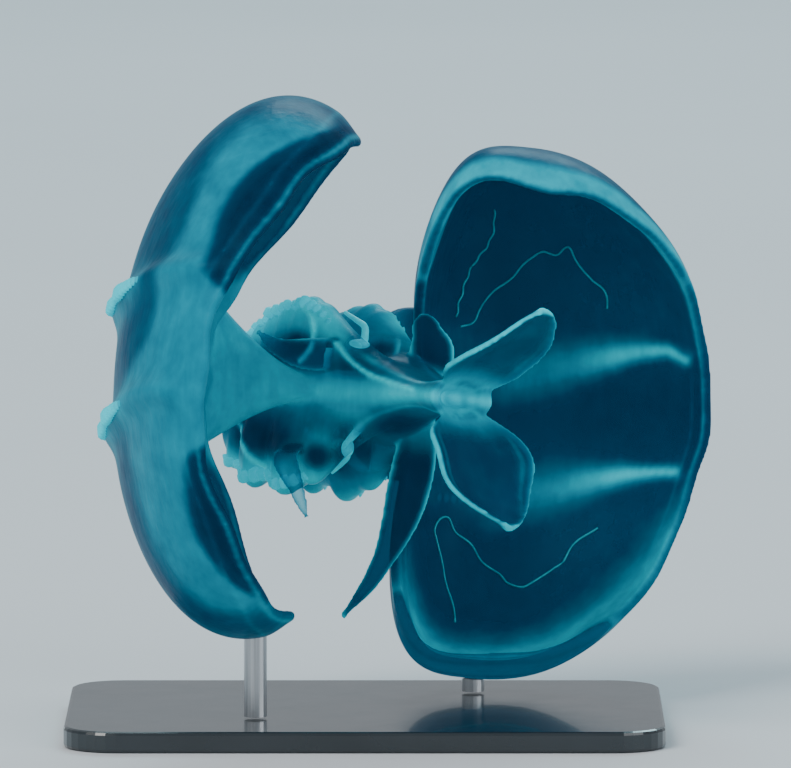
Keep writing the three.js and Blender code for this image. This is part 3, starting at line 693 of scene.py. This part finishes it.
# Bright folds on each flat side: (turn from the t axis in degrees, o) over the body's face.
FOLDS = [
    [(66, -22.0), (62, -20.5), (57, -18.8), (53, -17.0), (49, -15.0)],
    [(-46, -10.4), (-52, -7.8), (-60, -7.2), (-67, -8.4), (-73, -10.4)],
    [(-52, -3.5), (-58, 0.0), (-64, 3.5), (-70, 7.0), (-78, 10.5)],
]
FOLD_THICK = 0.28  # radius
FOLD_ROOT = (-20.6, 14.0, -7.6)  # where the first fold leaves the web, inside its edge


def fold_path(fold, side):
    """A fold's points on the flat side. Its degrees run from the lower (+) or upper (-) crest."""
    degrees, o = np.array(fold, float).T
    turn = np.radians(np.where(degrees > 0, -90 + degrees, 90 + degrees))
    p = off_surface(body_face, turn, o, body_swelling(turn, o) + 0.1, vec(o, 0, AXIS_T))
    return p * [1, side, 1]


def tentacle_shapes():
    """The two bulbs, each with its short contracted tentacle."""
    shapes = []
    for tentacle in TENTACLES.values():
        shapes.append(ball(tentacle["bulb"], tentacle["size"], BULB_MARKS))
        radius = mix(*TENTACLE_RADII, np.linspace(0, 1, TENTACLE_POINTS))
        shapes.append(tube(spline(tentacle["path"], TENTACLE_POINTS), radius, sides=12))
    return shapes


def surface_details():
    """The apical organ and the bright folds, fused into the skin."""
    shapes = [ball((BODY_ABORAL, 0, AXIS_T), ORGAN_SIZE, ORGAN_MARKS)]
    for side in SIDES.values():
        web_fold, *others = (fold_path(fold, side) for fold in FOLDS)
        web_fold = np.concatenate([[np.array(FOLD_ROOT) * [1, side, 1]], web_fold])
        for path in (web_fold, *others):
            shapes.append(tube(spline(path, 70), FOLD_THICK, FOLD_MARKS, 12))
    return shapes


# ---- the skin ------------------------------------------------------------------------------------

VOXEL = 0.00029  # metres
SMOOTH_ROUNDS, SMOOTH_IN, SMOOTH_OUT = 32, 0.6, -0.61
MARK_ROUNDS = 5


def neighbour_mean(values, edges, degree):
    """The mean of each vertex's neighbours, for an array of any width."""
    columns = [
        np.bincount(edges[:, 0], values[edges[:, 1], k], len(values))
        + np.bincount(edges[:, 1], values[edges[:, 0], k], len(values))
        for k in range(values.shape[1])
    ]
    return np.stack(columns, axis=1) / degree[:, None]


def fused_skin(shapes):
    """One closed surface round all the shapes, with their marks as attributes."""
    rough = mesh_object("skin_source", shapes)
    remesh = rough.modifiers.new("fuse", "REMESH")
    remesh.mode = "VOXEL"
    remesh.voxel_size = VOXEL
    evaluated = rough.evaluated_get(bpy.context.evaluated_depsgraph_get())
    mesh = bpy.data.meshes.new_from_object(evaluated)
    mesh.name = "skin"
    bpy.data.objects.remove(rough)

    count = len(mesh.vertices)
    points = np.empty(count * 3)
    mesh.vertices.foreach_get("co", points)
    points = points.reshape(-1, 3)
    edges = np.empty(len(mesh.edges) * 2, dtype=np.int64)
    mesh.edges.foreach_get("vertices", edges)
    edges = edges.reshape(-1, 2)
    degree = np.maximum(1, np.bincount(edges.ravel(), minlength=count))

    # Each vertex takes its marks from the nearest points of the shapes it came from.
    source = to_row(np.concatenate([shape.points for shape in shapes]))
    source_marks = np.concatenate([shape.marks for shape in shapes])
    tree = kdtree.KDTree(len(source))
    for i, p in enumerate(source.tolist()):
        tree.insert(p, i)
    tree.balance()
    nearest = np.fromiter((tree.find(p)[1] for p in points.tolist()), dtype=np.int64, count=count)
    marks = source_marks[nearest]
    for _ in range(MARK_ROUNDS):
        marks = mix(marks, neighbour_mean(marks, edges, degree), 0.5)

    # Smoothing in pairs, in and out, keeps the thin sheets from shrinking.
    for _ in range(SMOOTH_ROUNDS):
        for amount in (SMOOTH_IN, SMOOTH_OUT):
            points = mix(points, neighbour_mean(points, edges, degree), amount)
    mesh.vertices.foreach_set("co", points.ravel())
    for k, name in enumerate(("bright", "solid")):
        layer = mesh.attributes.new(name, "FLOAT", "POINT")
        layer.data.foreach_set("value", marks[:, k].astype(np.float32))
    mesh.shade_smooth()
    mesh.update()
    return placed("skin", mesh)


# ---- comb rows -----------------------------------------------------------------------------------

PLATE_PITCH, PLATE_WIDE, PLATE_TALL, PLATE_THICK = 1.15, 2.5, 1.25, 0.34
PLATE_LEAN = 0.55  # how far a plate's free end leans back, as a share of its height
PLATE_HEIGHTS = np.linspace(0, 1, 5)
SMALLEST_PLATE = 0.4  # combs smaller than this share of a full one are left out
PLATE_SUNK, PLATE_OUT = 0.3, 0.7  # how far below and above the skin a row's direction is taken


def lobe_comb_path(side, level, count):
    """Where a lobe's plates stand, and which way is up from there."""
    l = np.linspace(COMB_FROM, COMB_TO, count)
    theta, phi = lobe_polar(comb_line_t(l, level, side), l)
    low, high = (
        from_lobe(side, off_surface(lobe_face, theta, phi, KEEL + rise + 0 * phi, np.zeros(3)))
        for rise in (-PLATE_SUNK, PLATE_OUT)
    )
    return low, high - low


def body_comb_path(side, level, count):
    """The same along one of the body's ridges."""
    o = np.linspace(BODY_COMB_FROM, BODY_COMB_TO, count)
    turn = np.full(count, math.atan2(level, side))
    middle, swell = vec(o, 0, AXIS_T), body_swelling(turn, o)
    low, high = (off_surface(body_face, turn, o, swell + rise, middle) for rise in (-PLATE_SUNK, PLATE_OUT))
    return low, high - low


# For each place: the row's path, its length, how closely its plates stand and how many groups
# they make.
COMB_ROWS = {
    "lobe": (lobe_comb_path, COMB_TO - COMB_FROM, 1.25, 5),
    "body": (body_comb_path, BODY_COMB_TO - BODY_COMB_FROM, 1.1, 3),
}


def comb_plates(path, sizes):
    """Thin fan-shaped plates standing across a row. sizes are shares of a full plate."""
    low, normal = path
    along = unit(np.gradient(low, axis=0))
    across = unit(np.cross(along, normal))
    normal = unit(normal)
    around = np.linspace(0, 2 * math.pi, 12, endpoint=False)
    shapes = []
    for i, size in enumerate(sizes):
        if size < SMALLEST_PLATE:
            continue
        rings = []
        for h in PLATE_HEIGHTS:
            half = PLATE_WIDE / 2 * size * (0.82 + 0.3 * h - 0.55 * h**4)
            thick = PLATE_THICK * (1.2 - 0.8 * h)
            back = PLATE_LEAN * h**1.6 * PLATE_TALL * size
            centre = low[i] + normal[i] * PLATE_TALL * size * h - along[i] * back
            wide = np.outer(np.cos(around) * half, across[i])
            rings.append(centre + wide + np.outer(np.sin(around) * thick, along[i]))
        bright = mix(0.35, 1.0, ease(0.3, 0.75, size))
        shapes.append(loft(np.array(rings), np.array([bright, 1.0])))
    return shapes


def comb_row(place, side_name, level_name):
    """One row of plates, as a piece that replaces its node."""
    side, level = SIDES[side_name], LEVELS[level_name]
    path, length, crowding, group_count = COMB_ROWS[place]
    count = int(length / PLATE_PITCH * crowding)
    f = np.linspace(0, 1, count)
    ends = np.sin(math.pi * mix(0.08, 0.92, f)) ** 0.4
    groups = 0.86 + 0.14 * np.sin(f * 2 * math.pi * group_count + side)
    jitter = 0.04 * np.sin(37 * f + 5 * side + 3 * level)
    if place == "lobe" and side < 0:
        groups = groups * mix(1, 0.3, ease(0.56, 0.7, f))  # low where the row nears the free edge
    if place == "body" and side > 0:
        groups = groups * 0.75
    plates = comb_plates(path(side, level, count), ends * groups + jitter)
    obj = mesh_object(f"combs_{place}_{side_name}_{level_name}", plates)
    layer = obj.data.attributes.new("bright", "FLOAT", "POINT")
    bright = np.concatenate([plate.marks[:, 0] for plate in plates])
    layer.data.foreach_set("value", bright.astype(np.float32))
    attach(obj, "root")
    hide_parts(f"comb_row_{place}_{side_name}_{level_name}")
    return obj


# ---- canals --------------------------------------------------------------------------------------

CANAL_RADIUS, CANAL_WIGGLE, CANAL_POINTS = 0.15, 0.15, 90
CANAL_PROUD = 0.02  # how far a canal's middle stands off the inner face
# Each canal wanders over the bowl's inner face: points (t, l) in the lobe's frame.
CANALS = [
    [(30.2, -4.9), (27.3, -4.6), (24.7, -5.3), (20.5, -8.1), (16.4, -9.2), (13.1, -9.7)],
    [(11.8, -8.7), (13.0, -6.3), (16.4, -4.8), (19.4, -1.6), (23.4, 1.6), (24.6, 3.3), (24.3, 5.5),
     (25.5, 6.4), (25.5, 7.4), (22.5, 9.6), (21.2, 11.2), (19.9, 13.2), (17.2, 13.9)],
    [(-32.0, -3.6), (-28.3, -4.7), (-24.0, -6.8), (-19.7, -8.4), (-17.9, -9.2), (-16.3, -8.6),
     (-16.1, -7.0), (-18.2, -5.2), (-19.7, -2.7), (-22.2, -0.5), (-23.8, 2.3), (-25.0, 3.5),
     (-25.4, 5.9), (-24.7, 7.3), (-22.1, 10.2), (-20.8, 11.8), (-17.6, 13.3), (-15.3, 16.2)],
]


def canal_shapes(side):
    shapes = []
    for points in CANALS:
        t, l = spline(points, CANAL_POINTS).T
        wiggle = CANAL_WIGGLE * np.sin(np.linspace(0, 13 * math.pi, CANAL_POINTS))
        theta, phi = lobe_polar(t, l + wiggle)
        depth = -(lobe_wall(theta, phi) + CANAL_PROUD)
        path = from_lobe(side, off_surface(lobe_face, theta, phi, depth, np.zeros(3)))
        shapes.append(tube(path, CANAL_RADIUS, sides=6))
    return shapes


# ---- materials -----------------------------------------------------------------------------------


class Nodes:
    """A short way to build a node tree."""

    def __init__(self, name):
        self.material = bpy.data.materials.new(name)
        self.material.use_nodes = True
        self.tree = self.material.node_tree
        self.shader = self.tree.nodes["Principled BSDF"]

    def add(self, kind, values=None, **settings):
        node = self.tree.nodes.new(kind)
        for key, value in settings.items():
            setattr(node, key, value)
        for key, value in (values or {}).items():
            node.inputs[key].default_value = value
        return node

    def link(self, source, target):
        self.tree.links.new(source, target)

    def set(self, **values):
        for key, value in values.items():
            self.shader.inputs[key.replace("_", " ")].default_value = value

    def noise(self, scale, detail=4.0, stretch=(1, 1, 1)):
        place = self.add("ShaderNodeTexCoord")
        mapping = self.add("ShaderNodeMapping", {"Scale": stretch})
        noise = self.add("ShaderNodeTexNoise", {"Scale": scale, "Detail": detail})
        self.link(place.outputs["Object"], mapping.inputs["Vector"])
        self.link(mapping.outputs["Vector"], noise.inputs["Vector"])
        return noise.outputs["Fac"]

    def ramp(self, source, stops):
        node = self.add("ShaderNodeValToRGB")
        points = node.color_ramp.elements
        while len(points) < len(stops):
            points.new(0.5)
        for point, (place, colour) in zip(points, stops):
            point.position = place
            point.color = (*colour, 1)
        self.link(source, node.inputs["Fac"])
        return node.outputs["Color"]

    def math(self, operation, a, b):
        node = self.add("ShaderNodeMath", operation=operation)
        for socket, value in zip(node.inputs, (a, b)):
            if isinstance(value, (int, float)):
                socket.default_value = value
            else:
                self.link(value, socket)
        return node.outputs[0]

    def spread(self, source, low, high):
        node = self.add("ShaderNodeMapRange", {"To Min": low, "To Max": high})
        self.link(source, node.inputs["Value"])
        return node.outputs["Result"]

    def let_through(self, solid, tint=None):
        """Lets light pass where solid is low, coloured by tint."""
        clear = self.add("ShaderNodeBsdfTransparent")
        if tint:
            self.link(tint, clear.inputs["Color"])
        both = self.add("ShaderNodeMixShader")
        self.link(solid, both.inputs["Fac"])
        self.link(clear.outputs["BSDF"], both.inputs[1])
        self.link(self.shader.outputs["BSDF"], both.inputs[2])
        self.link(both.outputs["Shader"], self.tree.nodes["Material Output"].inputs["Surface"])

    def bump(self, height, strength, distance):
        node = self.add("ShaderNodeBump", {"Strength": strength, "Distance": distance})
        self.link(height, node.inputs["Height"])
        self.link(node.outputs["Normal"], self.shader.inputs["Normal"])


# Colours for the bright marks, which hold the jelly's own tone and its painted light and shade.
JELLY_COLOURS = [
    (0.00, (0.0002, 0.016, 0.045)),
    (0.25, (0.0004, 0.042, 0.095)),
    (0.45, (0.0005, 0.115, 0.185)),
    (0.60, (0.0010, 0.220, 0.310)),
    (0.80, (0.0015, 0.470, 0.570)),
    (1.00, (0.0040, 0.780, 0.840)),
]
JELLY_TINTS = [(0.15, (0.62, 0.92, 0.97)), (0.45, (0.30, 0.76, 0.88)), (0.7, (0.05, 0.32, 0.50))]
GLINT = (0.35, 0.88, 1.0, 1)  # wet jelly's own reflections, tinted like the light in it
GLOW = 0.35  # light scattered inside the jelly, given back as a little of its own colour
ORGAN_GLOW = 1.5 * GLOW  # the same in the combs and the tentacles


def jelly_material():
    n = Nodes("jelly")
    bright = n.add("ShaderNodeAttribute", attribute_name="bright").outputs["Fac"]
    solid = n.add("ShaderNodeAttribute", attribute_name="solid").outputs["Fac"]
    mottle = n.spread(n.noise(260, 5), -0.10, 0.10)
    fibres = n.spread(n.noise(900, 3, (1, 1, 0.16)), -0.035, 0.035)
    texture = n.math("ADD", mottle, fibres)
    colour = n.ramp(n.math("ADD", bright, texture), JELLY_COLOURS)
    n.link(colour, n.shader.inputs["Base Color"])
    n.link(colour, n.shader.inputs["Emission Color"])
    n.let_through(n.math("ADD", solid, n.math("MULTIPLY", texture, 0.7)), n.ramp(solid, JELLY_TINTS))
    n.link(n.spread(n.noise(500), 0.28, 0.42), n.shader.inputs["Roughness"])
    n.set(IOR=1.34, Specular_IOR_Level=0.13, Specular_Tint=GLINT, Emission_Strength=GLOW)
    n.bump(n.noise(700, 4, (1, 1, 0.35)), 0.25, 0.0004)
    return n.material


COMB_COLOURS = [(0.3, (0.0, 0.20, 0.29)), (0.65, (0.0, 0.38, 0.48)), (1.0, (0.0, 0.56, 0.66))]


def comb_material():
    n = Nodes("comb_plate")
    bright = n.add("ShaderNodeAttribute", attribute_name="bright").outputs["Fac"]
    shade = n.math("SUBTRACT", bright, n.spread(n.noise(900), 0.0, 0.3))
    n.link(n.ramp(shade, COMB_COLOURS), n.shader.inputs["Base Color"])
    n.link(n.spread(n.noise(1500), 0.2, 0.4), n.shader.inputs["Roughness"])
    n.set(IOR=1.36, Specular_IOR_Level=0.35, Specular_Tint=GLINT)
    n.set(Emission_Color=(0.0, 0.50, 0.62, 1), Emission_Strength=ORGAN_GLOW)
    n.bump(n.noise(2600, 3, (1, 1, 0.3)), 0.3, 0.0002)
    return n.material


def vessel_material(name, dark, light, alpha, glow=0.0):
    n = Nodes(name)
    colour = n.ramp(n.noise(700), [(0.3, dark), (0.7, light)])
    n.link(colour, n.shader.inputs["Base Color"])
    n.link(colour, n.shader.inputs["Emission Color"])
    n.set(Emission_Strength=glow)
    n.let_through(n.spread(n.noise(400), alpha - 0.12, alpha + 0.08))
    n.set(Roughness=0.35, IOR=1.36)
    n.bump(n.noise(1200), 0.2, 0.0002)
    return n.material


def plate_material():
    n = Nodes("stand_acrylic")
    n.link(
        n.ramp(n.noise(60, 6), [(0.3, (0.010, 0.016, 0.020)), (0.7, (0.018, 0.026, 0.032))]),
        n.shader.inputs["Base Color"],
    )
    n.link(n.spread(n.noise(180, 6), 0.14, 0.26), n.shader.inputs["Roughness"])
    n.set(IOR=1.49, Coat_Weight=0.4, Coat_Roughness=0.05)
    n.bump(n.noise(40), 0.05, 0.0003)
    return n.material


BRUSHED = (1, 1, 0.02)  # grain drawn out along the rods


def rod_material():
    n = Nodes("stand_steel")
    n.link(
        n.ramp(n.noise(2200, 2, BRUSHED), [(0.3, (0.38, 0.40, 0.42)), (0.7, (0.58, 0.60, 0.62))]),
        n.shader.inputs["Base Color"],
    )
    n.link(n.spread(n.noise(1800, 2, BRUSHED), 0.24, 0.4), n.shader.inputs["Roughness"])
    n.set(Metallic=1.0)
    n.bump(n.noise(2400, 2, BRUSHED), 0.15, 0.0001)
    return n.material


def floor_material():
    n = Nodes("floor")
    n.link(
        n.ramp(n.noise(3, 3), [(0.3, (0.60, 0.63, 0.66)), (0.7, (0.63, 0.66, 0.69))]),
        n.shader.inputs["Base Color"],
    )
    n.set(Roughness=0.7)
    return n.material


def dress(obj, material):
    obj.data.materials.clear()
    obj.data.materials.append(material)


# ---- building the animal -------------------------------------------------------------------------

flesh = [body_shape(), *surface_details()]
for side in SIDES.values():
    flesh += [lobe_shape(side), wing_shape(side)]
flesh += [auricle_shape(**auricle) for auricle in AURICLES.values()]
flesh += [lip_shape(level, **lip) for level, lip in LIPS.items()]

FLESH_NODES = [
    "body_trunk", "apical_organ", "lobe_left", "lobe_right", "lip_upper", "lip_lower",
    "auricle_left_upper", "auricle_left_lower", "auricle_right_upper", "auricle_right_lower",
]
skin = fused_skin(flesh)
dress(skin, jelly_material())
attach(skin, "root")
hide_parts(*FLESH_NODES)

comb_look = comb_material()
for place in ("lobe", "body"):
    for side_name in SIDES:
        for level_name in LEVELS:
            dress(comb_row(place, side_name, level_name), comb_look)

canals = mesh_object("canals", canal_shapes(-1) + canal_shapes(1))
dress(canals, vessel_material("canal", (0.001, 0.34, 0.44), (0.003, 0.56, 0.64), 0.85))
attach(canals, "root")
tentacles = mesh_object("tentacles", tentacle_shapes())
dress(tentacles, vessel_material("tentacle", (0.001, 0.45, 0.55), (0.002, 0.62, 0.70), 0.92, ORGAN_GLOW))
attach(tentacles, "root")
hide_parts("tentacle_bulb_upper", "tentacle_bulb_lower")

dress(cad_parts["stand_base"], plate_material())
rod_look = rod_material()
for side_name in SIDES:
    dress(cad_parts[f"stand_rod_{side_name}"], rod_look)

# ---- floor, light and camera ---------------------------------------------------------------------

floor_mesh = bpy.data.meshes.new("floor")
floor_mesh.from_pydata([(-6, -3, 0), (6, -3, 0), (6, 9, 0), (-6, 9, 0)], [], [(0, 1, 2, 3)])
floor = placed("floor", floor_mesh)
dress(floor, floor_material())

MIDDLE = Vector(BODY_MIDDLE * MM)


def soft_light(name, place, size, power, colour):
    """A rectangular lamp at a place measured from the animal's middle, facing it."""
    lamp = bpy.data.lights.new(name, "AREA")
    lamp.shape = "RECTANGLE"
    lamp.size, lamp.size_y = size
    lamp.energy = power
    lamp.color = colour
    obj = placed(name, lamp)
    obj.location = MIDDLE + Vector(place)
    obj.rotation_euler = (MIDDLE - obj.location).to_track_quat("-Z", "Y").to_euler()


soft_light("key", (-1.1, -1.2, 1.5), (1.2, 1.2), 42.0, (1.0, 0.98, 0.95))
soft_light("fill", (1.5, -1.2, 0.7), (1.4, 1.4), 16.0, (0.93, 0.97, 1.0))
soft_light("back", (0.4, 1.6, 1.4), (1.4, 0.8), 24.0, (0.60, 0.92, 1.0))

world = bpy.data.worlds.new("studio")
world.use_nodes = True
world.node_tree.nodes["Background"].inputs["Color"].default_value = (0.86, 0.93, 1.0, 1)
world.node_tree.nodes["Background"].inputs["Strength"].default_value = 0.45
bpy.context.scene.world = world

# The camera looks level with the animal's tipped axes, from far enough to flatten the view.
IMAGE_WIDE = 791  # pixels
MM_PER_PIXEL = 0.1407
SENSOR, CAMERA_DISTANCE = 36, 1.6  # in millimetres, in metres
AIM_RIGHT, AIM_UP = 1.27, 0.91  # from the body's middle to the picture's, in millimetres

camera_data = bpy.data.cameras.new("camera")
camera_data.sensor_width = SENSOR
camera_data.lens = SENSOR * CAMERA_DISTANCE / (IMAGE_WIDE * MM_PER_PIXEL * MM)
camera_data.clip_end = 30
camera = placed("camera", camera_data)
aim = (BODY_MIDDLE + AIM_RIGHT * VIEW_RIGHT + AIM_UP * VIEW_UP) * MM
camera.location = aim + VIEW_FRONT * CAMERA_DISTANCE
camera.rotation_euler = Matrix(np.stack([VIEW_RIGHT, VIEW_UP, VIEW_FRONT], axis=1).tolist()).to_euler()
bpy.context.scene.camera = camera
